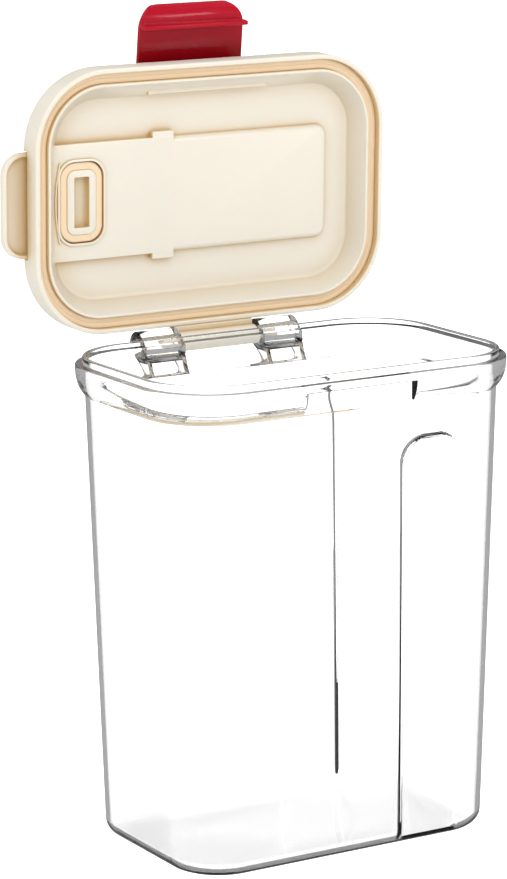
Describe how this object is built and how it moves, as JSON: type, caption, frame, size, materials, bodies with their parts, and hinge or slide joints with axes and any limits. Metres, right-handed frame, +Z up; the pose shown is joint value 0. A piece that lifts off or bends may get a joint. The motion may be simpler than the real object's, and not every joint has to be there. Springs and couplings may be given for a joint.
{
  "type": "cereal dispenser",
  "caption": "Clear tapered food container with a hinged gasketed lid, a snap latch and a flip-up pour cap, shown open.",
  "frame": {"origin": "centre of the base's flat underside, on the surface it stands on", "axes": "+X along the length, away from the pour cap; -Y towards the latch side, +Y towards the lid hinge; +Z up through the mouth"},
  "size_m": [0.212, 0.1634, 0.4007],
  "materials": {
    "clear_plastic": "clear moulded plastic, polished",
    "cream_plastic": "cream moulded plastic, satin",
    "tan_gasket": "soft moulded gasket, matt",
    "red_plastic": "deep red moulded plastic, gloss"
  },
  "bodies": {
    "container": {"container": "clear_plastic", "hinge_lug_left": "clear_plastic", "hinge_lug_right": "clear_plastic"},
    "lid": {"lid_shell": "cream_plastic", "lid_hinge_bar": "cream_plastic", "lid_seal": "tan_gasket"},
    "latch": {"latch_lever": "red_plastic"},
    "pour_cap": {"flip_cap": "cream_plastic", "cap_plug": "cream_plastic", "plug_seal": "tan_gasket"}
  },
  "joints": [
    {"name": "lid_hinge", "type": "hinge", "parent": "container", "child": "lid", "pos_m": [0, 0.07295, 0.23485], "axis": [1, 0, 0], "range_deg": [0, 88.3]},
    {"name": "latch_hinge", "type": "hinge", "parent": "lid", "child": "latch", "pos_m": [0, 0.08564, 0.36854], "axis": [1, 0, 0], "range_deg": [0, 90]},
    {"name": "cap_hinge", "type": "hinge", "parent": "lid", "child": "pour_cap", "pos_m": [-0.025, 0.08418, 0.30817], "axis": [0, 0.0297, -0.9996], "range_deg": [0, 180]}
  ]
}
